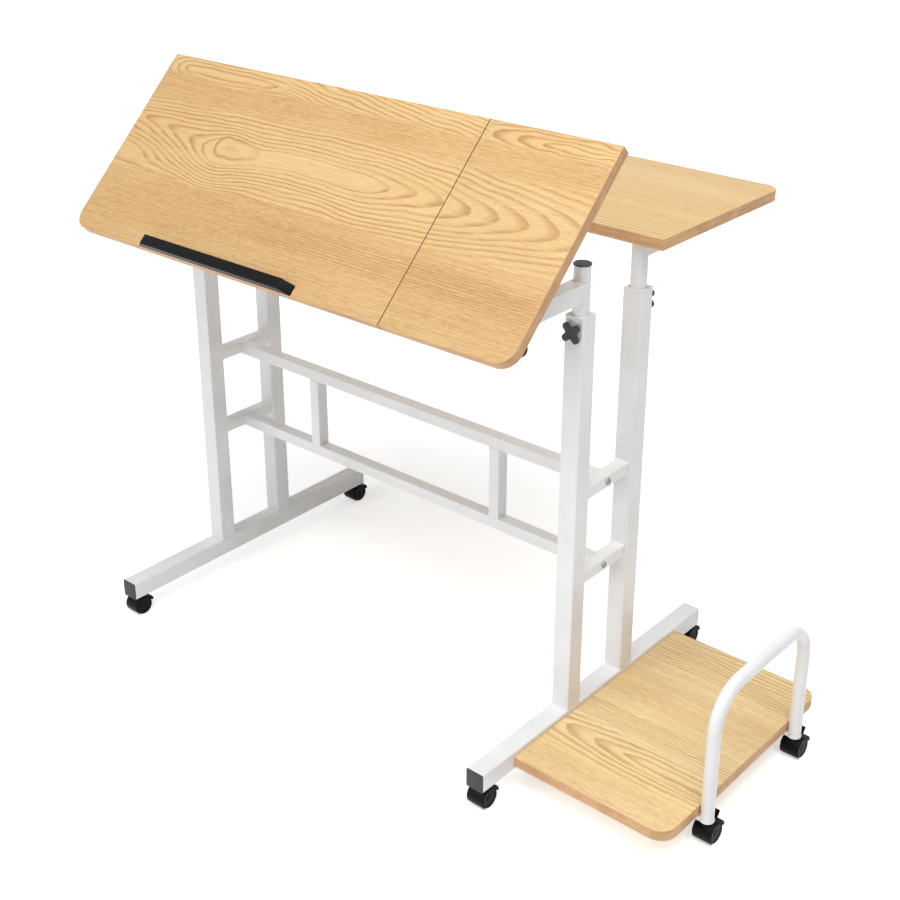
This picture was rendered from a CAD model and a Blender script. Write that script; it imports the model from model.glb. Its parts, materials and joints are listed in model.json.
"""Looks of the mobile laptop table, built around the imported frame.

Lengths are in metres, in the row frame: X to the user's right, Y away from the user, Z up.
"""
import json
import math

import bpy
import numpy as np
from mathutils import Matrix, Vector


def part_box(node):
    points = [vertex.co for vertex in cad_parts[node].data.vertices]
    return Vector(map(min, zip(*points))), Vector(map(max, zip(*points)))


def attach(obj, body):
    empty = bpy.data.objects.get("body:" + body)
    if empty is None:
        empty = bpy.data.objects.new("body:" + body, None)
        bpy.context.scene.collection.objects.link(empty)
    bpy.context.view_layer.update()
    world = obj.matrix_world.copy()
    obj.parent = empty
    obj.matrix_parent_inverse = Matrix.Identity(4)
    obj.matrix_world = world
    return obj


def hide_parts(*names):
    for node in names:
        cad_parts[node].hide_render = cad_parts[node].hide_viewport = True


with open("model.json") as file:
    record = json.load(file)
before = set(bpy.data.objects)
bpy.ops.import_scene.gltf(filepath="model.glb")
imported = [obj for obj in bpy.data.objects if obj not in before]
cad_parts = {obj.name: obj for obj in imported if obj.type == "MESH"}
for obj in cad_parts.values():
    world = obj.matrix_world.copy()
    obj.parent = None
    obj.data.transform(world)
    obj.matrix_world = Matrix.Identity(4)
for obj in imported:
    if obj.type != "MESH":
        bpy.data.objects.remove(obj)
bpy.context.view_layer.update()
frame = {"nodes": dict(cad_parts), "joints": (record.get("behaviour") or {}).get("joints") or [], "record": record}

# The camera that was fitted to the photograph: the picture's width, the focal length and the
# row of the optical axis in pixels, the view's angles, and the sensor's width in metres
IMAGE_PX = 900.0
FOCAL_PX = 1480.57
CENTRE_ROW = 376.7
VIEW_AZIMUTH = math.radians(40.60)
VIEW_ELEVATION = math.radians(23.86)
VIEW_ROLL = math.radians(0.05)
SENSOR = 0.036

# The front board's tilt, the height of its panels' underside above the pivot in the board's own
# frame, and the reach of its front edge before the pivot
TILT = math.radians(45.0)
PANEL_RISE = 0.0329
PIVOT_TO_FRONT = 0.0895

# Bend radius of the guard tube's centre line
GUARD_BEND = 0.052

# Angle of the raised brake levers in degrees, and their length
LEVER_RISE = 52.0
LEVER_LENGTH = 0.012

# Half the width that is dark at the seam of the front board
SEAM_DARK = 0.0011

# The angle between two faces from which the edge between them shades sharp
SHARP_FROM = math.radians(35.0)

# Light: the world's share on the object, and the two lamps' watts
AMBIENT = 0.14
KEY_WATTS = 61.0
TOP_WATTS = 116.0

# The floor's own light for the camera near the table and far out, where the lamps fade, and
# the two distances
FLOOR_LIFT_NEAR, FLOOR_LIFT_FAR = 0.50, 0.85
FLOOR_NEAR, FLOOR_FAR = 0.7, 2.6


def low(node):
    """Lowest corner of a CAD node."""
    return np.array(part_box(node)[0])


def high(node):
    """Highest corner of a CAD node."""
    return np.array(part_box(node)[1])


def middle(node):
    """Centre of a CAD node's box."""
    return (low(node) + high(node)) / 2


# The middle between the feet, from which the fit gives the camera's place
CENTRE_X = (middle("left_foot")[0] + middle("right_foot")[0]) / 2
CENTRE_Y = middle("left_foot")[1]
CAMERA_AT = Vector((1.34008 + CENTRE_X, -1.45872 + CENTRE_Y, 1.30684))
SEAM_X = (high("left_desk_panel")[0] + low("right_desk_panel")[0]) / 2


# Shader building

class Value:
    """A node's output, from which formulas are written: each sign adds a node."""

    def __init__(self, shader, socket):
        self.shader = shader
        self.socket = socket

    def __add__(self, other):
        return self.shader.math("ADD", self, other)

    def __sub__(self, other):
        return self.shader.math("SUBTRACT", self, other)

    def __rsub__(self, other):
        return self.shader.math("SUBTRACT", other, self)

    def __mul__(self, other):
        return self.shader.math("MULTIPLY", self, other)

    def __truediv__(self, other):
        return self.shader.math("DIVIDE", self, other)


class Shader:
    """A material whose nodes are added by short calls."""

    def __init__(self, name):
        self.material = bpy.data.materials.new(name)
        self.material.use_nodes = True
        self.nodes = self.material.node_tree.nodes
        self.links = self.material.node_tree.links
        self.surface = self.nodes["Principled BSDF"]

    def add(self, kind, values=(), out=0, **settings):
        """A node of that kind, and one of its outputs as a value.

        values go to its inputs by name or number, and settings to the node.
        """
        node = self.nodes.new(kind)
        for key, value in settings.items():
            setattr(node, key, value)
        for key, value in dict(values).items():
            self.put(node.inputs[key], value)
        return Value(self, node.outputs[out])

    def split(self, vector):
        """The three parts of a vector."""
        first = self.add("ShaderNodeSeparateXYZ", {0: vector})
        return [Value(self, socket) for socket in first.socket.node.outputs]

    def put(self, socket, value):
        """Sets a socket, or links it when the value is another node's output."""
        if isinstance(value, Value):
            self.links.new(value.socket, socket)
        else:
            socket.default_value = value

    def set(self, **values):
        """Sockets of the surface shader, with underscores for the spaces in their names."""
        for key, value in values.items():
            self.put(self.surface.inputs[key.replace("_", " ")], value)

    def math(self, operation, a, b=0.0, c=0.0):
        """One step of arithmetic."""
        return self.add("ShaderNodeMath", {0: a, 1: b, 2: c}, operation=operation)

    def most(self, first, *others):
        """The largest of the values."""
        for other in others:
            first = self.math("MAXIMUM", first, other)
        return first

    def step(self, value, start, end, low_value=0.0, high_value=1.0):
        """Smooth step of value from start to end."""
        return self.add("ShaderNodeMapRange",
                        {0: value, 1: start, 2: end, 3: low_value, 4: high_value},
                        interpolation_type="SMOOTHSTEP")

    def place(self, turn=(0, 0, 0), shift=(0, 0, 0)):
        """Object coordinates, turned and then shifted."""
        where = self.add("ShaderNodeTexCoord", out="Object")
        return self.add("ShaderNodeMapping", {"Vector": where, "Location": shift, "Rotation": turn})

    def noise(self, vector, scale, detail=2.0, roughness=0.5):
        """Soft noise about 0.5, with that many lumps to a unit of the vector."""
        return self.add("ShaderNodeTexNoise", {"Vector": vector, "Scale": scale, "Detail": detail,
                                               "Roughness": roughness}, "Fac")

    def mix(self, factor, a, b):
        """Colour a where the factor is 0, and b where it is 1."""
        return self.add("ShaderNodeMix", {0: factor, 6: a, 7: b}, 2, data_type="RGBA")

    def bump(self, height, distance, strength):
        """Relief of the surface: a height from 0 to 1, times a distance in metres."""
        self.set(Normal=self.add("ShaderNodeBump", {"Height": height, "Distance": distance,
                                                    "Strength": strength}))


def srgb(red, green, blue):
    """Linear colour of an 8-bit screen colour."""
    part = np.array([red, green, blue]) / 255.0
    line = np.where(part <= 0.04045, part / 12.92, ((part + 0.055) / 1.055) ** 2.4)
    return (*line.tolist(), 1.0)


def powder_coat():
    """White powder coat: a fine orange peel, and faint uneven gloss."""
    s = Shader("white_powder_coat")
    place = s.place()
    cloud = s.noise(place, 14.0, 3.0)
    s.set(Base_Color=s.mix(s.step(cloud, 0.3, 0.7), srgb(236, 237, 238), srgb(244, 245, 246)),
          Roughness=s.step(s.noise(place, 60.0), 0.2, 0.8, 0.30, 0.42))
    s.surface.inputs["Coat Weight"].default_value = 0.5
    s.surface.inputs["Coat Roughness"].default_value = 0.09
    s.bump(s.noise(place, 900.0, 3.0), 0.00006, 0.6)
    return s.material


def moulded(name, dark, light, roughness, grain=1800.0, depth=0.00005, specular=0.5):
    """Moulded plastic: a spark-eroded grain, and slightly worn lighter spots.

    grain is the number of lumps to a metre, and depth their height in metres.
    """
    s = Shader(name)
    place = s.place()
    grains = s.noise(place, grain, 2.0, 0.6)
    cloud = s.noise(place, 45.0, 3.0)
    worn = s.step(grains, 0.35, 0.7) * s.step(cloud, 0.2, 0.9, 0.4, 1.0)
    s.set(Base_Color=s.mix(worn, dark, light),
          Roughness=s.step(cloud, 0.2, 0.8, roughness - 0.05, roughness + 0.07))
    s.surface.inputs["Specular IOR Level"].default_value = specular
    s.bump(grains, depth, 0.8)
    return s.material


def speckled_black():
    """Black plastic of the laptop stop, with a sprinkle of fine pale grains."""
    s = Shader("speckled_black")
    place = s.place()
    grains = s.step(s.noise(place, 1500.0, 1.0, 0.5), 0.62, 0.72)
    s.set(Base_Color=s.mix(grains, srgb(4, 4, 5), srgb(42, 42, 44)), Roughness=0.42)
    s.surface.inputs["Specular IOR Level"].default_value = 0.12
    s.bump(s.noise(place, 1100.0, 2.0), 0.00005, 0.6)
    return s.material


def zinc_plate():
    """Zinc-plated steel: satin metal with a faint mottled bloom."""
    s = Shader("zinc_plate")
    place = s.place()
    mottle = s.noise(place, 160.0, 4.0)
    s.set(Base_Color=s.mix(s.step(mottle, 0.3, 0.7), srgb(132, 133, 137), srgb(164, 165, 168)),
          Roughness=s.step(mottle, 0.2, 0.8, 0.25, 0.42))
    s.surface.inputs["Metallic"].default_value = 1.0
    s.bump(s.noise(place, 2500.0), 0.00002, 0.4)
    return s.material


class Grain:
    """The plane of a board in millimetres, u along the grain and v across it.

    The lengths that its calls are given are millimetres on the board too.
    """

    def __init__(self, shader, turn, shift):
        self.s = shader
        u, v, _ = shader.split(shader.place(turn, shift))
        self.u = u * 1000.0
        self.v = v * 1000.0

    def stretched(self, length, width, detail, roughness=0.5, seed=0.37):
        """Noise whose lumps are so long along the grain and so wide across it, in millimetres."""
        parts = self.s.add("ShaderNodeCombineXYZ",
                           {0: self.u / length, 1: self.v / width, 2: seed})
        return self.s.noise(parts, 1.0, detail, roughness)

    def wave(self, length, width, amount, detail, seed=0.37):
        """The same noise about zero, times an amount."""
        return (self.stretched(length, width, detail, 0.5, seed) - 0.5) * amount

    def bell(self, u0, u_width, v0, v_width, height):
        """height exp(-((u - u0) / u_width)^2 - ((v - v0) / v_width)^2)."""
        a, b = (self.u - u0) / u_width, (self.v - v0) / v_width
        total = self.s.math("MULTIPLY_ADD", a, a, b * b)
        return self.s.math("EXPONENT", total * -1.0) * height

    def rings(self, v, core, axis, taper):
        """Distance from a core line on the axis: sqrt((v - axis)^2 + e^2).

        e is the way past the core's ends, over the taper at that end.
        """
        s = self.s
        past = s.most((core[0] - self.u) / taper[0], (self.u - core[1]) / taper[1], 0.0)
        off = v - axis
        return s.math("SQRT", s.math("MULTIPLY_ADD", off, off, past * past))

    def lines(self, height, pitch, soft):
        """Growth lines: darkness rises over the last part of each pitch, then ends sharply.

        soft is the share of the pitch after which the darkness starts.
        """
        phase = self.s.math("FRACT", height / pitch)
        return self.s.step(phase, soft, 0.90) * self.s.step(phase, 1.0, 0.93)


def laminate(name, turn, shift, draw, share):
    """Wood-grain laminate.

    draw gives the darkness of its growth lines and of its fine bands. From below come the
    ground colour, fine bands, threads, growth lines, dark and pale dashes, and pores.
    """

    def paint(*colour):
        """A screen colour times the board's own share of red, green and blue."""
        return tuple(np.array(srgb(*colour)) * np.array([*share, 1.0]))

    s = Shader(name)
    g = Grain(s, turn, shift)
    line, fine = draw(s, g)
    threads = g.stretched(110.0, 2.0, 3.0, 0.65)
    dashes = g.stretched(14.0, 1.6, 2.0, 0.6, 6.2)
    pores = s.step(g.stretched(9.0, 0.6, 2.0, 0.65), 0.50, 0.70)
    dots = s.step(g.stretched(3.2, 1.1, 1.0, 0.5, 4.1), 0.58, 0.72)
    tone = g.stretched(420.0, 70.0, 2.0)
    colour = s.mix(s.step(tone, 0.3, 0.7), paint(247, 216, 160), paint(243, 207, 147))
    colour = s.mix(fine * 0.75, colour, paint(229, 187, 129))
    thread_share = s.math("MULTIPLY_ADD", fine, 0.28, 0.22)
    colour = s.mix(s.step(threads, 0.38, 0.68) * thread_share, colour, paint(204, 158, 98))
    colour = s.mix(line * 0.88, colour, paint(196, 145, 86))
    dash_share = s.math("MULTIPLY_ADD", fine, 0.16, 0.20)
    colour = s.mix(s.step(dashes, 0.50, 0.66) * dash_share, colour, paint(190, 138, 80))
    colour = s.mix(s.step(dashes, 0.46, 0.32) * dash_share, colour, paint(250, 222, 168))
    colour = s.mix(pores * dots * 0.34, colour, paint(176, 124, 70))
    colour = s.mix(pores * 0.12, colour, paint(188, 138, 84))
    s.set(Base_Color=colour, Roughness=s.step(threads, 0.2, 0.8, 0.42, 0.55))
    s.surface.inputs["Coat Weight"].default_value = 0.12
    s.surface.inputs["Coat Roughness"].default_value = 0.35
    s.bump(pores * -0.6 + line * -0.4, 0.00005, 0.5)
    return s.material


def draw_front(s, g):
    """Front board: an eye with nested loops, arches near the top, and fine bands between."""
    # the lines below the eye dip under it, and climb again towards the left edge
    dip = g.bell(-208.0, 42.0, 138.0, 36.0, 13.0)
    climb = s.step(g.u, -225.0, -400.0, 0.0, -25.0) * s.step(g.v, 108.0, 150.0)
    climb = climb * s.step(g.v, 215.0, 175.0)
    knee = g.bell(75.0, 45.0, 128.0, 30.0, 7.0)
    broad = g.wave(190.0, 62.0, 22.0, 1.0)
    small = g.wave(46.0, 15.0, 4.5, 2.0, 1.9)
    v = g.v + dip + climb + knee + broad + small
    q = g.rings(v, (-98.0, 10.0), 174.0, (9.0, 7.3)) - g.bell(-195.0, 40.0, 176.0, 24.0, 13.0)
    # wider steps at the core, and closer ones further out
    loops = g.lines(q - 14.0, 6.1, 0.40)
    # the figure ends at a growth line above and below, and fine straight grain goes on from there
    low_side = g.v + (dip + broad)
    far = s.most(s.step(low_side, 112.0, 109.0), s.step(v, 224.0, 236.0))
    core = s.step(q, 11.5, 13.5)
    strength = s.step(g.stretched(260.0, 9.0, 2.0, 0.5, 7.7), 0.34, 0.60, 0.45, 1.05)
    strength = strength * s.step(g.u, 120.0, 380.0, 1.0, 0.7)
    loops = loops * core * (1.0 - far) * strength
    # the eye: a small knot, and one closed loop round it with a point on its right
    ring = g.rings(g.v + g.wave(46.0, 26.0, 9.0, 1.0, 3.4), (-200.0, -180.0), 173.0, (1.3, 2.9))
    eye = g.lines(ring, 17.0, 0.62) * s.step(ring, 18.0, 17.2)
    eye = eye * s.step(g.u, -140.0, -180.0, 0.35, 0.95)
    crumbs = s.step(g.stretched(5.0, 2.0, 2.0, 0.6, 1.2), 0.40, 0.60, 0.0, 0.6)
    eye = s.most(eye, s.step(ring, 6.0, 1.0) * crumbs)
    # arches and chevrons of the next figure, which the rear edge cuts off
    top = s.step(g.v + g.wave(90.0, 20.0, 22.0, 2.0, 4.9), 262.0, 274.0)
    arch = g.v + g.wave(110.0, 30.0, 18.0, 1.0, 5.9) + (g.u + 170.0) * 0.16
    bow = g.rings(g.v + g.wave(80.0, 22.0, 12.0, 1.0, 2.6), (-350.0, -200.0), 281.0, (2.6, 5.0))
    chevron = g.rings(g.v + g.wave(40.0, 16.0, 12.0, 1.0, 6.6), (330.0, 900.0), 280.0, (7.5, 1.0))
    left = s.step(g.u, -140.0, -165.0)
    right = s.step(g.u, 195.0, 215.0)
    arches = g.lines(arch, 6.2, 0.4) * (1.0 - s.most(left, right))
    arches = s.most(arches, g.lines(bow, 6.6, 0.35) * left, g.lines(chevron, 5.2, 0.35) * right)
    fade = s.step(g.stretched(90.0, 8.0, 1.0, 0.5, 2.9), 0.30, 0.55, 0.5, 1.0)
    arches = arches * top * fade
    # a bundle of straight lines low on the right
    bundle = g.lines(g.v + g.wave(300.0, 30.0, 9.0, 1.0, 8.8), 3.9, 0.3)
    window = s.step(g.u, -150.0, -20.0) * s.step(g.v, 50.0, 60.0)
    window = window * s.step(g.v, 98.0, 86.0, 0.0, 0.9)
    line = s.most(s.most(loops, arches), s.most(eye, bundle * window))
    quiet = far * (1.0 - top)
    fine = quiet * s.step(g.stretched(500.0, 60.0, 1.0, 0.5, 3.1), 0.30, 0.62, 0.45, 1.0)
    faint = g.lines(g.v + g.wave(240.0, 26.0, 16.0, 2.0, 9.1), 4.6, 0.2)
    return s.most(line, faint * (quiet * 0.30)), fine


def draw_rear(s, g):
    """Rear board: fine straight grain, with lines along its front and rear edges."""
    v = g.v + g.wave(260.0, 40.0, 20.0, 2.0, 2.6)
    front = s.step(g.v, 92.0, 66.0)
    back = s.step(g.v, 262.0, 280.0)
    lines = g.lines(v + g.u * -0.05, 7.6, 0.25) * s.most(front * 0.7, back)
    faint = g.lines(v, 4.7, 0.2) * 0.14
    quiet = 1.0 - s.most(front, back)
    fine = quiet * s.step(g.stretched(500.0, 60.0, 1.0, 0.5, 3.3), 0.3, 0.62, 0.35, 0.85)
    return s.most(lines, faint * quiet), fine


def draw_shelf(s, g):
    """Shelf: straight grain with bundles of lines, and a pale flame near its front edge."""
    v = g.v + g.wave(260.0, 40.0, 16.0, 2.0, 1.4) + g.wave(50.0, 14.0, 7.0, 2.0, 4.4)
    flame = g.rings(v, (150.0, 400.0), 102.0, (5.5, 9.0))
    near = s.step(g.v, 52.0, 66.0) * s.step(g.v, 140.0, 126.0)
    flames = g.lines(flame, 8.5, 0.25) * (near * 0.95)
    bundle = g.lines(v, 4.6, 0.15) * (s.step(g.v, 134.0, 142.0) * s.step(g.v, 190.0, 178.0))
    band = s.step(g.v, 252.0, 258.0) * s.step(g.v, 284.0, 276.0, 0.0, 0.7)
    thin = g.lines(v, 3.6, 0.15) * band
    upper = g.lines(v, 7.0, 0.15) * s.step(g.v, 306.0, 318.0)
    line = s.most(s.most(flames, bundle), s.most(thin, upper))
    line = line * s.step(g.stretched(120.0, 9.0, 2.0, 0.5, 5.5), 0.30, 0.62, 0.50, 1.0)
    quiet = s.step(g.v, 184.0, 196.0) * s.step(g.v, 312.0, 300.0)
    quiet = s.most(s.step(g.v, 60.0, 48.0), quiet)
    fine = quiet * s.step(g.stretched(400.0, 50.0, 1.0, 0.5, 3.7), 0.3, 0.6, 0.3, 0.85)
    return line, fine


def edge_band(name, turn, seam=None):
    """Edge band: fine straight grain, a little redder than the faces, and dark inside a seam."""
    s = Shader(name)
    x, y, z = s.split(s.place(turn))
    parts = s.add("ShaderNodeCombineXYZ", {0: x * 12.0, 1: y * 12.0, 2: z * 420.0})
    streak = s.noise(parts, 1.0, 3.0, 0.6)
    colour = s.mix(s.step(streak, 0.35, 0.7), srgb(228, 184, 136), srgb(204, 156, 108))
    blotch = s.noise(s.place(), 26.0, 3.0, 0.6)
    colour = s.mix(s.step(blotch, 0.44, 0.62, 0.0, 0.45), colour, srgb(190, 140, 96))
    if seam is not None:
        off = s.math("ABSOLUTE", s.split(s.place())[0] - seam)
        colour = s.mix(s.step(off, SEAM_DARK, SEAM_DARK * 0.8), colour, srgb(132, 98, 68))
    s.set(Base_Color=colour, Roughness=0.5)
    s.bump(streak, 0.00004, 0.4)
    return s.material


# Mesh building

class Shape:
    """A closed surface: its points, and blocks of faces, each with its finish number."""

    def __init__(self, points, blocks):
        self.points = np.asarray(points, dtype=float).reshape(-1, 3)
        self.blocks = blocks

    def placed(self, origin=(0, 0, 0), across=(1, 0, 0), along=(0, 1, 0), up=(0, 0, 1)):
        """The shape with its X, Y and Z along three given directions, and then moved."""
        axes = np.array([across, along, up], dtype=float)
        turned_over = np.linalg.det(axes) < 0
        blocks = [(faces[:, ::-1] if turned_over else faces, finish) for faces, finish in self.blocks]
        return Shape(self.points @ axes + np.asarray(origin, dtype=float), blocks)

    def bent(self, rule):
        """The shape with its points sent through a rule."""
        return Shape(rule(self.points), self.blocks)


def joined(shapes):
    """Several shapes as one, each one's faces counted on from the last one's points."""
    starts = np.cumsum([0] + [len(shape.points) for shape in shapes])
    blocks = [(faces + start, finish) for shape, start in zip(shapes, starts)
              for faces, finish in shape.blocks]
    return Shape(np.concatenate([shape.points for shape in shapes]), blocks)


def add_piece(name, shape, body, materials, stands_for):
    """A mesh piece that rides on a body in place of CAD nodes, with its crisp edges kept sharp."""
    mesh = bpy.data.meshes.new(name)
    faces = [face for block, _ in shape.blocks for face in block.tolist()]
    mesh.from_pydata(shape.points.tolist(), [], faces)
    for material in materials:
        mesh.materials.append(material)
    finish = np.concatenate([np.full(len(block), number) for block, number in shape.blocks])
    mesh.polygons.foreach_set("material_index", finish.astype(np.int32))
    mesh.shade_smooth()
    mesh.set_sharp_from_angle(angle=SHARP_FROM)
    mesh.update()
    piece = bpy.data.objects.new(name, mesh)
    bpy.context.scene.collection.objects.link(piece)
    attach(piece, body)
    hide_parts(*stands_for)


def quads(rows, columns, close_rows=False):
    """Faces of a grid of points whose columns close on themselves, and its rows too if asked."""
    row, column = np.meshgrid(np.arange(rows if close_rows else rows - 1), np.arange(columns),
                              indexing="ij")
    next_row, next_column = (row + 1) % rows, (column + 1) % columns
    corners = [row * columns + column, row * columns + next_column,
               next_row * columns + next_column, next_row * columns + column]
    return np.stack(corners, axis=-1).reshape(-1, 4)


def capped(rings, side=0, ends=0):
    """A solid of rings of points that follow each other, with a flat face at each end."""
    rows, columns = rings.shape[:2]
    first, last = np.arange(columns)[::-1], np.arange((rows - 1) * columns, rows * columns)
    return Shape(rings, [(quads(rows, columns), side), (first[None], ends), (last[None], ends)])


def outline(corners, radii, steps=8):
    """Closed outline with rounded corners, anticlockwise: its points and outward normals.

    A corner's arc has its centre where both sides, moved in by the radius, cross. Its points are
    centre + r n for an outer corner and centre - r n for an inner one, and the normal n turns
    evenly from one side's to the next side's.
    """
    corners = np.asarray(corners, dtype=float)
    radii = np.broadcast_to(np.asarray(radii, dtype=float), len(corners))
    sides = np.roll(corners, -1, axis=0) - corners
    sides /= np.linalg.norm(sides, axis=1)[:, None]
    after = np.stack([sides[:, 1], -sides[:, 0]], axis=1)
    before = np.roll(after, 1, axis=0)
    cosine = (before * after).sum(axis=1)
    turn = np.arctan2(before[:, 0] * after[:, 1] - before[:, 1] * after[:, 0], cosine)
    signed = np.where(turn < 0, -radii, radii)
    centre = corners - (before + after) * (signed / (1 + cosine))[:, None]
    start = np.arctan2(before[:, 1], before[:, 0])[:, None]
    angle = start + turn[:, None] * np.linspace(0, 1, steps + 1)
    normal = np.stack([np.cos(angle), np.sin(angle)], axis=-1)
    points = centre[:, None] + signed[:, None, None] * normal
    return points.reshape(-1, 2), normal.reshape(-1, 2)


def flat_rings(points, heights):
    """Rings of outline points, each at its own height."""
    lift = np.broadcast_to(np.asarray(heights, dtype=float)[:, None, None], (*points.shape[:2], 1))
    return np.concatenate([points, lift], axis=2)


def rounded_rings(around, bottom, top, round_bottom, round_top, steps):
    """Rings of a slab: at height r sin t of a rim the outline is drawn in by r (1 - cos t)."""
    points, normals = around
    t = np.linspace(0, math.pi / 2, steps + 1)
    drawn_in, rest = 1 - np.cos(t), 1 - np.sin(t)
    inset = np.concatenate([round_bottom * rest, round_top * drawn_in])
    heights = np.concatenate([bottom + round_bottom * drawn_in, top - round_top * rest])
    return flat_rings(points[None] - inset[:, None, None] * normals[None], heights)


def slab(around, bottom, top, round_bottom, round_top, face=0):
    """A slab with quarter-round rims; face is the finish number of its two flat faces."""
    return capped(rounded_rings(around, bottom, top, round_bottom, round_top, 4), ends=face)


def lathe(corners, radii, sides, finish=0):
    """A profile of (radius, height) corners, anticlockwise, turned about Z as (r cos a, r sin a, h).

    The profile starts and ends on the axis, where small flat faces close the turned shape.
    """
    profile, _ = outline(corners, radii, steps=5)
    tiny = 1e-9
    apart = np.linalg.norm(profile - np.roll(profile, 1, axis=0), axis=1) > tiny
    profile = profile[apart & (profile[:, 0] > tiny)]
    angle = np.linspace(0, 2 * math.pi, sides, endpoint=False)
    rings = np.stack([profile[:, :1] * np.cos(angle), profile[:, :1] * np.sin(angle),
                      np.repeat(profile[:, 1:], sides, axis=1)], axis=-1)
    return capped(rings, finish, finish)


def rod(radius, bottom, top, round_bottom=0.0, round_top=0.0, sides=48):
    """A solid rod about Z between two heights, with rounded rims."""
    return lathe(rectangle(0, radius, bottom, top), [0, round_bottom, round_top, 0], sides)


def rectangle(x0, x1, y0, y1):
    """Corners of a rectangle, anticlockwise."""
    return [(x0, y0), (x1, y0), (x1, y1), (x0, y1)]


def square(half):
    """Corners of a square about the origin, anticlockwise."""
    return rectangle(-half, half, -half, half)


def polar(radius, angle):
    """Points (r cos a, r sin a)."""
    return np.stack([radius * np.cos(angle), radius * np.sin(angle)], axis=-1)


def pipe(centres, tangents, across, outer, inner, sides):
    """A tube along a flat path that is square to `across`: its skin, its bore and its ring ends.

    A ring's points are centre + r (cos a across + sin a up), up being square to path and across.
    """
    angle = np.linspace(0, 2 * math.pi, sides, endpoint=False)[None, :, None]
    up = np.cross(tangents, across)[:, None]
    direction = np.cos(angle) * np.asarray(across, dtype=float) + np.sin(angle) * up
    rings = np.concatenate([centres[:, None] + outer * direction,
                            (centres[:, None] + inner * direction)[::-1]])
    return Shape(rings, [(quads(*rings.shape[:2], close_rows=True), 0)])


def smooth(x, start, end):
    """Smooth step from 0 at start to 1 at end."""
    t = np.clip((x - start) / (end - start), 0, 1)
    return t * t * (3 - 2 * t)


# Materials of the whole table
COAT = powder_coat()
ZINC = zinc_plate()
BLACK = moulded("black_moulding", srgb(5, 5, 6), srgb(13, 13, 14), 0.42, specular=0.11)
GREY_CAP = moulded("grey_cap_moulding", srgb(60, 61, 63), srgb(88, 89, 91), 0.5, specular=0.25)
NYLON = moulded("black_nylon", srgb(3, 3, 4), srgb(8, 8, 9), 0.45, 900.0, 0.00002, 0.10)
KNOB = moulded("knob_moulding", srgb(62, 62, 64), srgb(86, 86, 88), 0.55, specular=0.25)
WHITE_MOULD = moulded("white_moulding", srgb(236, 236, 234), srgb(244, 244, 242), 0.4)
BAND = edge_band("edge_band", (0, 0, 0))
FRONT_BAND = edge_band("front_edge_band", (-TILT, 0, 0), SEAM_X)
SPECKLED = speckled_black()
STOP_SIDE = moulded("stop_side_moulding", srgb(52, 52, 54), srgb(70, 70, 72), 0.5, specular=0.25)
CAP_EDGE = moulded("cap_edge_moulding", srgb(40, 40, 42), srgb(62, 62, 64), 0.45)

JOINT_AT = {joint["name"]: np.array(joint["pos_m"], dtype=float)
            for joint in frame["joints"] if "pos_m" in joint}
PIVOT = JOINT_AT["front_tilt"]
BOARD_T = (high("rear_board") - low("rear_board"))[2]
BOARD_D = (high("rear_board") - low("rear_board"))[1]

SLOT_MATERIALS = {"white_steel": COAT, "zinc_steel": ZINC, "grey_plastic": GREY_CAP,
                  "white_plastic": WHITE_MOULD, "black_plastic": BLACK, "black_wheel": NYLON,
                  "wood_board": BAND}

for entry in frame["record"]["subparts"]:
    node = frame["nodes"][entry["node"]]
    node.data.materials.clear()
    node.data.materials.append(SLOT_MATERIALS[entry["material_slot"]])


# Stage, lights and camera

def backdrop_rays(tree):
    """An output that is 1 for rays of the camera, of gloss and of glass, and 0 for the others."""
    path = tree.nodes.new("ShaderNodeLightPath")
    shown = path.outputs["Is Camera Ray"]
    for kind in ("Is Glossy Ray", "Is Transmission Ray"):
        either = tree.nodes.new("ShaderNodeMath")
        either.operation = "MAXIMUM"
        tree.links.new(shown, either.inputs[0])
        tree.links.new(path.outputs[kind], either.inputs[1])
        shown = either.outputs[0]
    return shown


def make_floor():
    """A wide pale floor that is white to the camera where no shadow falls."""
    s = Shader("pale_floor")
    seen = Value(s, backdrop_rays(s.material.node_tree))
    away = s.add("ShaderNodeVectorMath", {0: s.place()}, "Value", operation="LENGTH")
    lift = s.step(away, FLOOR_NEAR, FLOOR_FAR, FLOOR_LIFT_NEAR, FLOOR_LIFT_FAR)
    s.set(Base_Color=srgb(250, 250, 250), Roughness=0.9, Emission_Color=(1, 1, 1, 1),
          Emission_Strength=seen * lift)
    mesh = bpy.data.meshes.new("floor")
    reach = 30.0
    corners = [(-reach, -reach, 0), (reach, -reach, 0), (reach, reach, 0), (-reach, reach, 0)]
    mesh.from_pydata(corners, [], [(0, 1, 2, 3)])
    mesh.materials.append(s.material)
    floor = bpy.data.objects.new("floor", mesh)
    bpy.context.scene.collection.objects.link(floor)


def add_lamp(name, at, towards, size, watts):
    """A soft square lamp that faces a point."""
    data = bpy.data.lights.new(name, "AREA")
    data.size = size
    data.energy = watts
    lamp = bpy.data.objects.new(name, data)
    lamp.location = at
    lamp.rotation_euler = (Vector(towards) - Vector(at)).to_track_quat("-Z", "Y").to_euler()
    bpy.context.scene.collection.objects.link(lamp)


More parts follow.
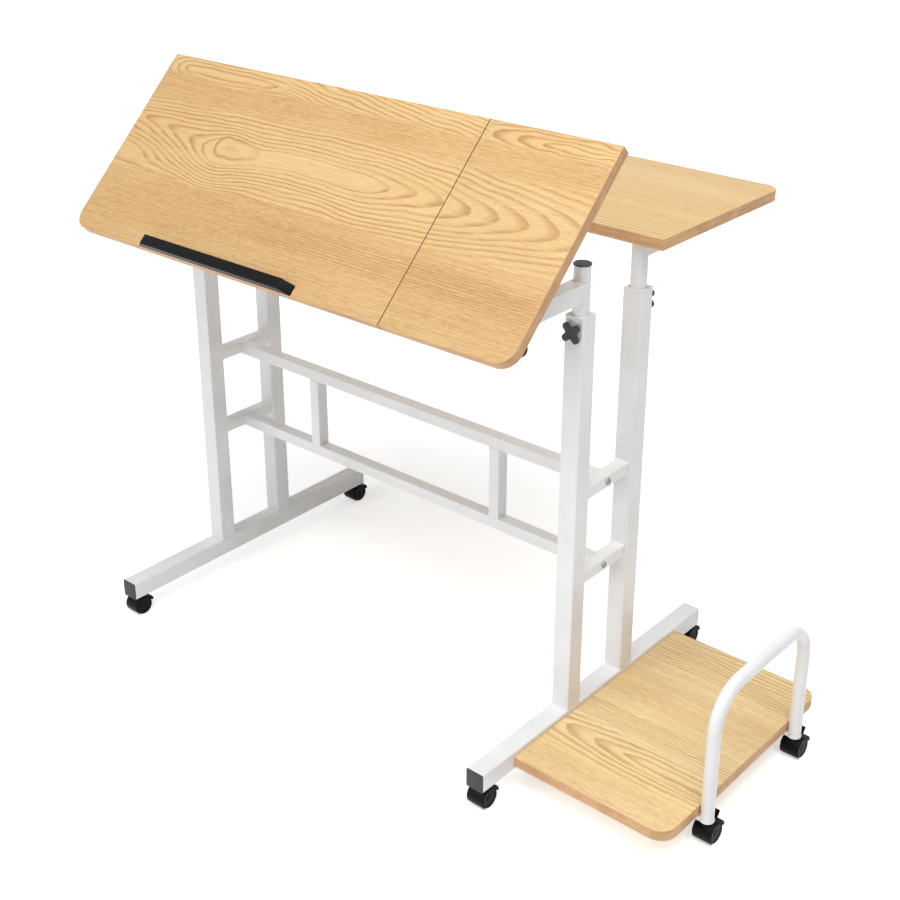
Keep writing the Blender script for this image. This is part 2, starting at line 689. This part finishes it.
def make_light():
    """Soft studio light: a key from the front left and a lamp overhead, on a white backdrop."""
    world = bpy.data.worlds.new("studio")
    world.use_nodes = True
    tree = world.node_tree
    strength = tree.nodes.new("ShaderNodeMapRange")
    tree.links.new(backdrop_rays(tree), strength.inputs["Value"])
    strength.inputs["To Min"].default_value = AMBIENT
    strength.inputs["To Max"].default_value = 1.0
    back = tree.nodes["Background"]
    back.inputs["Color"].default_value = (1, 1, 1, 1)
    tree.links.new(strength.outputs[0], back.inputs["Strength"])
    bpy.context.scene.world = world
    add_lamp("key", (-1.2, -3.4, 2.6), (0, 0, 0.5), 2.6, KEY_WATTS)
    add_lamp("top", (1.0, -0.8, 3.5), (0, 0, 0.4), 3.0, TOP_WATTS)


def make_camera():
    """The photograph's camera: its axes from azimuth, elevation and roll."""
    az, el, roll = VIEW_AZIMUTH, VIEW_ELEVATION, VIEW_ROLL
    back = Vector((math.sin(az) * math.cos(el), -math.cos(az) * math.cos(el), math.sin(el)))
    level = Vector((math.cos(az), math.sin(az), 0))
    over = back.cross(level)
    right = math.cos(roll) * level + math.sin(roll) * over
    up = back.cross(right)
    data = bpy.data.cameras.new("photo_camera")
    data.sensor_width = SENSOR * 1000
    data.sensor_fit = "HORIZONTAL"
    data.lens = FOCAL_PX / IMAGE_PX * SENSOR * 1000
    data.shift_y = -(IMAGE_PX / 2 - CENTRE_ROW) / IMAGE_PX
    camera = bpy.data.objects.new("photo_camera", data)
    turn = Matrix((right, up, back)).transposed().to_4x4()
    camera.matrix_world = Matrix.Translation(CAMERA_AT) @ turn
    bpy.context.scene.collection.objects.link(camera)
    bpy.context.scene.camera = camera


# Boards

def on_board(points):
    """Points of the front board's own frame, turned by the tilt about the pivot."""
    x, y, z = np.asarray(points).T
    c, s = math.cos(TILT), math.sin(TILT)
    return np.stack([x + CENTRE_X, PIVOT[1] + y * c - z * s, PIVOT[2] + y * s + z * c], axis=1)


def board_materials():
    """Laminates of the front, rear and shelf boards, each in the board's own plane."""
    c, s = math.cos(TILT), math.sin(TILT)
    slope_at_pivot = PIVOT[1] * c + PIVOT[2] * s
    front = laminate("front_laminate", (-TILT, 0, 0), (-CENTRE_X, PIVOT_TO_FRONT - slope_at_pivot, 0),
                     draw_front, (0.75, 0.72, 0.66))
    rear = laminate("rear_laminate", (0, 0, 0), (-CENTRE_X, -low("rear_board")[1], 0), draw_rear,
                    (0.90, 0.90, 0.86))
    shelf = laminate("shelf_laminate", (0, 0, 0), (-low("shelf_board")[0], -low("shelf_board")[1], 0),
                     draw_shelf, (1.01, 1.09, 1.19))
    return front, rear, shelf


def make_boards():
    """Boards as slabs with eased rims: laminate on the faces, edge band round the rim."""
    ease, sharp, corner = 0.0006, 0.0008, 0.025
    front, rear, shelf = board_materials()
    left, right = low("left_desk_panel"), high("right_desk_panel")
    seam_left = high("left_desk_panel")[0] - CENTRE_X
    seam_right = low("right_desk_panel")[0] - CENTRE_X
    y0, y1 = -PIVOT_TO_FRONT, BOARD_D - PIVOT_TO_FRONT
    for name, x0, x1, radii in (
            ("left_desk_panel", left[0] - CENTRE_X, seam_left, (corner, sharp, sharp, sharp)),
            ("right_desk_panel", seam_right, right[0] - CENTRE_X, (sharp, corner, sharp, sharp))):
        around = outline(rectangle(x0, x1, y0, y1), radii)
        board = slab(around, PANEL_RISE, PANEL_RISE + BOARD_T, ease, ease, face=1).bent(on_board)
        add_piece(name + "_laminated", board, "front_board", [FRONT_BAND, front], (name,))
    for name, body, radii, face in (
            ("rear_board", "rear_carriage", (sharp, sharp, corner, corner), rear),
            ("shelf_board", "base_frame", (sharp, corner, corner, sharp), shelf)):
        a, b = low(name), high(name)
        around = outline(rectangle(a[0], b[0], a[1], b[1]), radii)
        add_piece(name + "_laminated", slab(around, a[2], b[2], ease, ease, face=1), body,
                  [BAND, face], (name,))


def make_stop():
    """Laptop stop: a bar whose front view is a low trapezium, with eased edges."""
    length, width, height, slope = 0.300, 0.015, 0.014, 0.014
    edge, foot_edge = 0.0012, 0.0004
    base = length / 2
    around = outline([(-base, 0), (base, 0), (base - slope, height), (slope - base, height)],
                     [foot_edge, foot_edge, edge, edge])
    bar = slab(around, 0.0, width, edge / 2, edge / 2, face=1)
    foot = (middle("laptop_stop")[0] - CENTRE_X, width - PIVOT_TO_FRONT, PANEL_RISE + BOARD_T)
    bar = bar.placed(foot, across=(1, 0, 0), along=(0, 0, 1), up=(0, -1, 0)).bent(on_board)
    add_piece("laptop_stop_moulded", bar, "front_board", [SPECKLED, STOP_SIDE],
              ("laptop_stop",))


# Steel tubes

POSTS = ("left_front", "left_rear", "right_front", "right_rear")


def make_lift_tubes():
    """Round tubes that slide in the posts, open at both ends."""
    wall, sides = 0.0015, 96
    for post in POSTS:
        node = post + "_tube"
        a, b, centre = low(node), high(node), middle(node)
        centres = np.array([(centre[0], centre[1], a[2]), (centre[0], centre[1], b[2])])
        upwards = np.array([(0, 0, 1.0)] * 2)
        radius = (b - a)[0] / 2
        tube = pipe(centres, upwards, (1, 0, 0), radius, radius - wall, sides)
        body = "front_carriage" if "front" in post else "rear_carriage"
        add_piece(node + "_round", tube, body, [COAT], (node,))


def guard_route():
    """Centre line of the guard tube, up one leg, over and down the other, with its directions.

    Each bend is a quarter circle, whose points lie r (1 - cos t) and r (1 - sin t) in from the
    two lines that it joins.
    """
    a, b = low("guard_tube"), high("guard_tube")
    radius = (b - a)[0] / 2
    y0, y1, top = a[1] + radius, b[1] - radius, b[2] - radius
    count = 25
    t = np.linspace(0, math.pi / 2, count)
    near, far = GUARD_BEND * (1 - np.cos(t)), GUARD_BEND * (1 - np.sin(t))
    first = np.stack([y0 + near, top - far, np.sin(t), np.cos(t)], axis=1)
    second = np.stack([y1 - far, top - near, np.cos(t), -np.sin(t)], axis=1)
    rows = np.concatenate([[(y0, a[2], 0, 1)], first, second, [(y1, a[2], 0, -1)]])
    centres = np.stack([np.full(len(rows), (a[0] + b[0]) / 2), rows[:, 0], rows[:, 1]], axis=1)
    tangents = np.stack([np.zeros(len(rows)), rows[:, 2], rows[:, 3]], axis=1)
    return centres, tangents, radius


def make_guard_tube():
    """Guard tube on the shelf's outer side, bent from one round tube."""
    wall, sides = 0.0012, 72
    centres, tangents, radius = guard_route()
    tube = pipe(centres, tangents, (1, 0, 0), radius, radius - wall, sides)
    add_piece("guard_tube_bent", tube, "base_frame", [COAT], ("guard_tube",))


# Plastic caps

def foot_cap(half, thick):
    """A foot's cap along Z: a thin square plate with a raised field, and a plug in the tube."""
    corner, round_back, round_front = 0.002, 0.0001, 0.0005
    border, step, field_corner = 0.0017, 0.00025, 0.0006
    plug_wall, plug_len, plug_corner, plug_round = 0.0016, 0.005, 0.001, 0.0004
    plate = slab(outline(square(half), corner), 0.0, thick - step, round_back, round_front)
    field_round = step * 0.8
    field = slab(outline(square(half - border), field_corner), thick - step, thick, 0.0,
                 field_round, face=1)
    plug = slab(outline(square(half - plug_wall), plug_corner), -plug_len, 0.0, plug_round, 0.0)
    return joined([plate, field, plug])


def make_foot_caps():
    """Foot caps, one in each end of the two feet."""
    caps = []
    for foot in ("left_foot", "right_foot"):
        half = (high(foot) - low(foot))[0] / 2
        for out, corner in ((-1, low), (1, high)):
            foot_y = corner(foot)[1]
            cap = foot_cap(half, abs(corner("foot_end_caps")[1] - foot_y))
            at = (middle(foot)[0], foot_y, middle(foot)[2])
            caps.append(cap.placed(at, across=(-out, 0, 0), along=(0, 0, 1), up=(0, out, 0)))
    add_piece("foot_end_caps_moulded", joined(caps), "base_frame",
              [CAP_EDGE, GREY_CAP], ("foot_end_caps",))


def tube_cap(inner, outer, thick):
    """A round tube's cap from its flange's underside: flange, face in its hollow, and plug."""
    border, slope, hollow, fine = 0.0016, 0.0006, 0.0003, 0.0001
    round_under, round_top, sides = 0.0003, 0.0008, 96
    face_gap, face_t, plug_len, plug_round, sunk = 0.0002, 0.0008, 0.010, 0.0005, 0.0002
    field, face_z = outer - border - slope, thick - hollow
    flange = lathe([(0, 0), (outer, 0), (outer, thick), (outer - border, thick), (field, face_z),
                    (0, face_z)], [0, round_under, round_top, fine, fine, 0], sides)
    face_top = face_z + fine
    face = lathe(rectangle(0, field - face_gap, face_top - face_t, face_top), [0, 0, fine, 0],
                 sides, finish=1)
    plug = rod(inner, -plug_len, sunk, plug_round, sides=64)
    return joined([flange, face, plug])


def make_tube_caps():
    """Round caps in the tops of the front tubes."""
    thick, wall = 0.002, 0.0016
    top = high("front_tube_caps")[2]
    outer = high("front_tube_caps")[0] - middle("right_front_tube")[0]
    caps = []
    for tube in ("left_front_tube", "right_front_tube"):
        inner = (high(tube) - low(tube))[0] / 2 - wall
        at = (middle(tube)[0], middle(tube)[1], top - thick)
        caps.append(tube_cap(inner, outer, thick).placed(at))
    add_piece("front_tube_caps_moulded", joined(caps), "front_carriage",
              [CAP_EDGE, GREY_CAP], ("front_tube_caps",))


# Clamp knobs

def knob_head(height, reach, lobe, fillet):
    """Four-lobed head: a cross with round arms and filleted inner corners, and a hollow on top.

    The arms' ends are all but half circles.
    """
    arm_round = lobe * 0.99
    cross = [(reach, -lobe), (reach, lobe), (lobe, lobe), (lobe, reach), (-lobe, reach),
             (-lobe, lobe), (-reach, lobe), (-reach, -lobe), (-lobe, -lobe), (-lobe, -reach),
             (lobe, -reach), (lobe, -lobe)]
    around = outline(cross, [arm_round, arm_round, fillet] * 4, steps=10)
    foot_round, top_round = 0.0008, 0.0016
    rings = rounded_rings(around, 0.0, height, foot_round, top_round, 6)
    angle = np.arctan2(rings[-1, :, 1], rings[-1, :, 0])
    hollow_share, inwards, down = 0.36, np.array([0.0, 0.0004, 0.0008]), np.array([0.0, 0.0002, 0.0006])
    radius = reach * hollow_share - inwards
    circles = flat_rings(polar(radius[:, None], angle), height - down)
    return capped(np.concatenate([rings, circles]))


def make_clamp_knobs():
    """Clamp knobs of the posts, each with its screw through the boss."""
    height, lobe, fillet = 0.005, 0.0048, 0.0032
    screw_r, screw_tip, collar_r, collar_round, sunk = 0.003, 0.0005, 0.0055, 0.0001, 0.001
    # how far each knob is turned from a level cross, in degrees
    turns = {"right_front": 43.0, "left_front": 51.0, "left_rear": 45.0, "right_rear": 44.0}
    for post in POSTS:
        node = post + "_clamp_knob"
        out = -1.0 if "front" in post else 1.0
        a, b = low(node), high(node)
        outer_y, inner_y = (a[1], b[1]) if out < 0 else (b[1], a[1])
        # the box of the turned cross gives the reach of its lobes
        reach = ((b - a)[2] / 2 - lobe) * math.sqrt(2) + lobe
        angle = math.radians(turns[post])
        c, s = math.cos(angle), math.sin(angle)
        head = knob_head(height, reach, lobe, fillet).placed(across=(c, s, 0), along=(-s, c, 0))
        seat = abs(outer_y - inner_y) - height
        screw = rod(screw_r, -seat, sunk, screw_tip)
        collar = rod(collar_r, -sunk, sunk, collar_round)
        at = (middle(post + "_post")[0], outer_y - out * height, (a[2] + b[2]) / 2)
        knob = joined([head, screw, collar])
        knob = knob.placed(at, across=(-out, 0, 0), along=(0, 0, 1), up=(0, out, 0))
        add_piece(node + "_moulded", knob, node, [KNOB], (node,))


# Bolts

def button_head(radius, height):
    """Button head on Z: a dome (r cos t, sin t) on a low rim, and a hexagon socket in its top.

    The socket's radius at an angle is its half width over the cosine of the way to its flat.
    """
    socket, depth, chamfer, chamfer_h, rim = 0.0020, 0.0018, 1.06, 0.0002, 0.0006
    sides, dome_end, dome_steps = 72, math.radians(52), 9
    angle = np.linspace(0, 2 * math.pi, sides, endpoint=False)
    flat = math.pi / 6
    hexagon = socket / np.cos((angle + flat) % (2 * flat) - flat)
    t = np.linspace(0, dome_end, dome_steps)
    dome = np.repeat(radius * np.cos(t)[:, None], sides, axis=1)
    heights = rim + (height - rim) * np.sin(t) / math.sin(dome_end)
    radial = np.concatenate([np.full((1, sides), radius), dome, hexagon[None] * chamfer,
                             hexagon[None], hexagon[None]])
    level = np.concatenate([[0.0], heights, [height, height - chamfer_h, height - depth]])
    return capped(flat_rings(polar(radial, angle), level))


def make_rail_bolts():
    """Bolts with button heads, on the outer sides of the ties."""
    radius, head_h = 0.0048, 0.0026
    shank_r, shank_len, shank_tip, sunk = 0.003, 0.027, 0.0006, 0.0002
    a, b = low("rail_bolts"), high("rail_bolts")
    shank = rod(shank_r, -shank_len, sunk, shank_tip)
    bolt = joined([button_head(radius, head_h), shank])
    bolts = []
    for side, x in ((-1.0, a[0] + head_h), (1.0, b[0] - head_h)):
        for z in (a[2] + radius, b[2] - radius):
            at = (x, CENTRE_Y, z)
            bolts.append(bolt.placed(at, across=(0, side, 0), along=(0, 0, 1), up=(side, 0, 0)))
    add_piece("rail_bolts_button_head", joined(bolts), "base_frame", [ZINC],
              ("rail_bolts",))


# Casters

CASTERS = ("left_front", "left_rear", "right_front", "right_rear", "shelf_front", "shelf_rear")
WITH_LEVER = ("shelf_front", "shelf_rear")
# Angles round the axle, from the rear upwards: the shell's rear end, and the lip's foot, its
# full depth and its end
REAR_ANGLE = math.radians(20.0)
LIP_FROM, LIP_TO, LIP_END = math.radians(60.0), math.radians(34.0), math.radians(15.0)
# A shape's Z laid along the axle
SIDEWAYS = {"across": (0, 1, 0), "along": (0, 0, 1), "up": (1, 0, 0)}


def round_the_axle(sections, angle):
    """Sections of (x, radius) points, one at each angle from the rear: (x, r cos a, r sin a)."""
    x, radial = sections[..., 0], sections[..., 1]
    around = [x, radial * np.cos(angle)[:, None], radial * np.sin(angle)[:, None]]
    return capped(np.stack(around, axis=-1))


def hood_ring(half_width, inner, outer, start, end):
    """Shell over the wheels: a flat section with round shoulders, carried round the axle."""
    inner_round, shoulder, steps = 0.0002, 0.0009, 72
    corners = rectangle(-half_width, half_width, inner, outer)
    section, _ = outline(corners, [inner_round, inner_round, shoulder, shoulder], steps=6)
    return round_the_axle(np.repeat(section[None], steps, axis=0), np.linspace(start, end, steps))


def lip_block(x0, x1, inner, outer, depth):
    """Rear lip: it rises smoothly off the shell to its full depth, and ends in a blunt tip.

    Its outer edges are quarter rounds, and the tip falls off by 1 - sqrt of the way to it.
    """
    edge, tip, tip_span, steps = 0.0006, 0.0007, math.radians(4.0), 28
    angle = np.linspace(LIP_END, LIP_FROM, steps)
    rise = depth * smooth(angle, LIP_FROM, LIP_TO)
    blunt = tip * (1 - np.sqrt(np.clip((angle - LIP_END) / tip_span, 0, 1)))
    t = np.linspace(0, math.pi / 2, 5)
    inset, drop = edge * (1 - np.cos(t)), edge * (1 - np.sin(t))
    x = np.concatenate([[x0, x1], x1 - inset, x0 + inset[::-1]])
    share = np.concatenate([[0, 0], np.ones(2 * len(t))])
    drop = np.concatenate([[0, 0], drop, drop[::-1]])
    top = outer + rise - blunt
    radial = inner + share[None] * (top[:, None] - inner) - drop[None]
    return round_the_axle(np.stack([np.repeat(x[None], steps, axis=0), radial], axis=-1), angle)


def web_plate(half_width, radius, cut_z):
    """Web between the wheels: a disc cut flat at the bottom, extruded across."""
    start, count = math.asin(cut_z / radius), 61
    angle = np.linspace(start, math.pi - start, count)
    around = polar(radius, angle)
    rings = flat_rings(np.repeat(around[None], 2, axis=0), [-half_width, half_width])
    return capped(rings).placed(**SIDEWAYS)


def wheel_disc(radius, width):
    """Half of a twin wheel, turned: rounded tread, rim lip, dished disc, hub boss, hollow back."""
    disc, rim, hub, bore = 0.0016, 0.0025, 0.004, 0.0016
    lip, lip_slope, dish, dish_fall = 0.0021, 0.0005, 0.0007, 0.0002
    boss, boss_slope, boss_drop = 0.0047, 0.0006, 0.0002
    back, face = width - disc, width - dish
    corners = [(0, back), (bore, back), (bore, 0), (hub, 0), (hub, back), (radius - rim, back),
               (radius - rim, 0), (radius, 0), (radius, width), (radius - lip, width),
               (radius - lip - lip_slope, face), (boss + boss_slope, face - dish_fall),
               (boss, width - boss_drop), (0, width - boss_drop)]
    tread_back, tread_front, lip_round, soft, fine = 0.0008, 0.0013, 0.0002, 0.0004, 0.0003
    radii = [0, 0, 0, fine, soft, soft, fine, tread_back, tread_front, lip_round, fine, fine, fine, 0]
    return lathe(corners, radii, 72)


def lever_shape(length, width):
    """Brake lever: an eye round its pin and a flat arm with grip ridges, seen from the side."""
    eye, arm, neck_from, neck_to = 0.00235, 0.0013, 0.0021, 0.0036
    tip, pitch, depth, count = 0.0012, 0.0014, 0.00035, 3
    soft, tip_under, tip_over, ridge_round, edge = 0.0008, 0.0010, 0.0007, 0.0003, 0.0005
    number = np.arange(count + 1)
    ridges = np.stack([length - tip - pitch * number, np.where(number % 2 == 0, arm, arm - depth)],
                      axis=1)
    corners = [(-eye, -eye), (neck_from, -eye), (neck_to, -arm), (length, -arm), (length, arm)]
    corners += ridges.tolist() + [(neck_to, arm), (neck_from, eye), (-eye, eye)]
    eye_round = eye * 0.98
    radii = [eye_round, soft, soft, tip_under, tip_over] + [ridge_round] * (count + 1)
    radii += [soft, soft, eye_round]
    return slab(outline(corners, radii, steps=5), -width / 2, width / 2, edge, edge)


def make_hood(name, axle, wheel_r):
    """A caster's hood: shell, lip, web, seat under the stem, axle, and the pin of a lever."""
    wheel_gap, wall, lip_depth, lip_slot = 0.0005, 0.001, 0.003, 0.0043
    web_half, web_share, seat_r, seat_h, seat_round = 0.0055, 0.4, 0.007, 0.004, 0.0004
    axle_r, axle_half, axle_round, pin_r, pin_half = 0.0015, 0.0125, 0.0003, 0.0012, 0.0053
    hood = name + "_caster_hood"
    has_lever = name in WITH_LEVER
    inner = wheel_r + wheel_gap
    outer = inner + wall
    half = (high(hood) - low(hood))[0] / 2
    front = math.pi + math.asin((axle[2] - low(hood)[2]) / outer)
    spans = [(-half, -lip_slot), (lip_slot, half)] if has_lever else [(-half, half)]
    pieces = [hood_ring(half, inner, outer, REAR_ANGLE, front)]
    pieces += [lip_block(x0, x1, inner + wall / 4, outer, lip_depth) for x0, x1 in spans]
    pieces.append(web_plate(web_half, inner + wall / 2, -web_share * outer))
    seat_z = high(hood)[2] - axle[2]
    stem = JOINT_AT[name + "_swivel"] - axle
    seat = rod(seat_r, seat_z - seat_h, seat_z, 0.0, seat_round, sides=64)
    shaft = rod(axle_r, -axle_half, axle_half, axle_round, axle_round, sides=32)
    pieces += [seat.placed((stem[0], stem[1], 0)), shaft.placed(**SIDEWAYS)]
    if has_lever:
        at = JOINT_AT[name + "_brake_press"] - axle
        pin = rod(pin_r, -pin_half, pin_half, sides=24)
        pieces.append(pin.placed((0, at[1], at[2]), **SIDEWAYS))
    add_piece(hood + "_moulded", joined(pieces).placed(axle), name + "_caster",
              [BLACK], (hood,))


def make_wheels(name, axle, wheel_r):
    """The two wheels of a caster, one on each end of its axle."""
    for hand, side in (("left", -1.0), ("right", 1.0)):
        node = f"{name}_caster_{hand}_wheel"
        a, b = low(node), high(node)
        inner_x = b[0] if side < 0 else a[0]
        wheel = wheel_disc(wheel_r, (b - a)[0])
        wheel = wheel.placed((inner_x, axle[1], axle[2]), across=(0, 1, 0), along=(0, 0, side),
                             up=(side, 0, 0))
        add_piece(node + "_turned", wheel, f"{name}_{hand}_wheel", [NYLON], (node,))


def make_lever(name, axle):
    """Brake lever of a caster, raised, on its pin in the lip's slot."""
    node, width, rise = name + "_brake_lever", 0.008, math.radians(LEVER_RISE)
    c, s = math.cos(rise), math.sin(rise)
    at = JOINT_AT[name + "_brake_press"]
    lever = lever_shape(LEVER_LENGTH, width)
    lever = lever.placed((axle[0], at[1], at[2]), across=(0, c, s), along=(0, -s, c), up=(1, 0, 0))
    add_piece(node + "_moulded", lever, name + "_brake", [BLACK], (node,))


def make_casters():
    """Moulded twin-wheel casters, with a brake lever on the shelf's two."""
    for name in CASTERS:
        left, right = name + "_caster_left_wheel", name + "_caster_right_wheel"
        wheel_r = (high(left) - low(left))[2] / 2
        axle = np.array([(low(left)[0] + high(right)[0]) / 2, middle(left)[1], middle(left)[2]])
        make_hood(name, axle, wheel_r)
        make_wheels(name, axle, wheel_r)
        if name in WITH_LEVER:
            make_lever(name, axle)


# Everything in its order

make_floor()
make_light()
make_camera()
make_boards()
make_stop()
make_lift_tubes()
make_guard_tube()
make_foot_caps()
make_tube_caps()
make_clamp_knobs()
make_rail_bolts()
make_casters()

bpy.context.scene.view_settings.view_transform = "Standard"
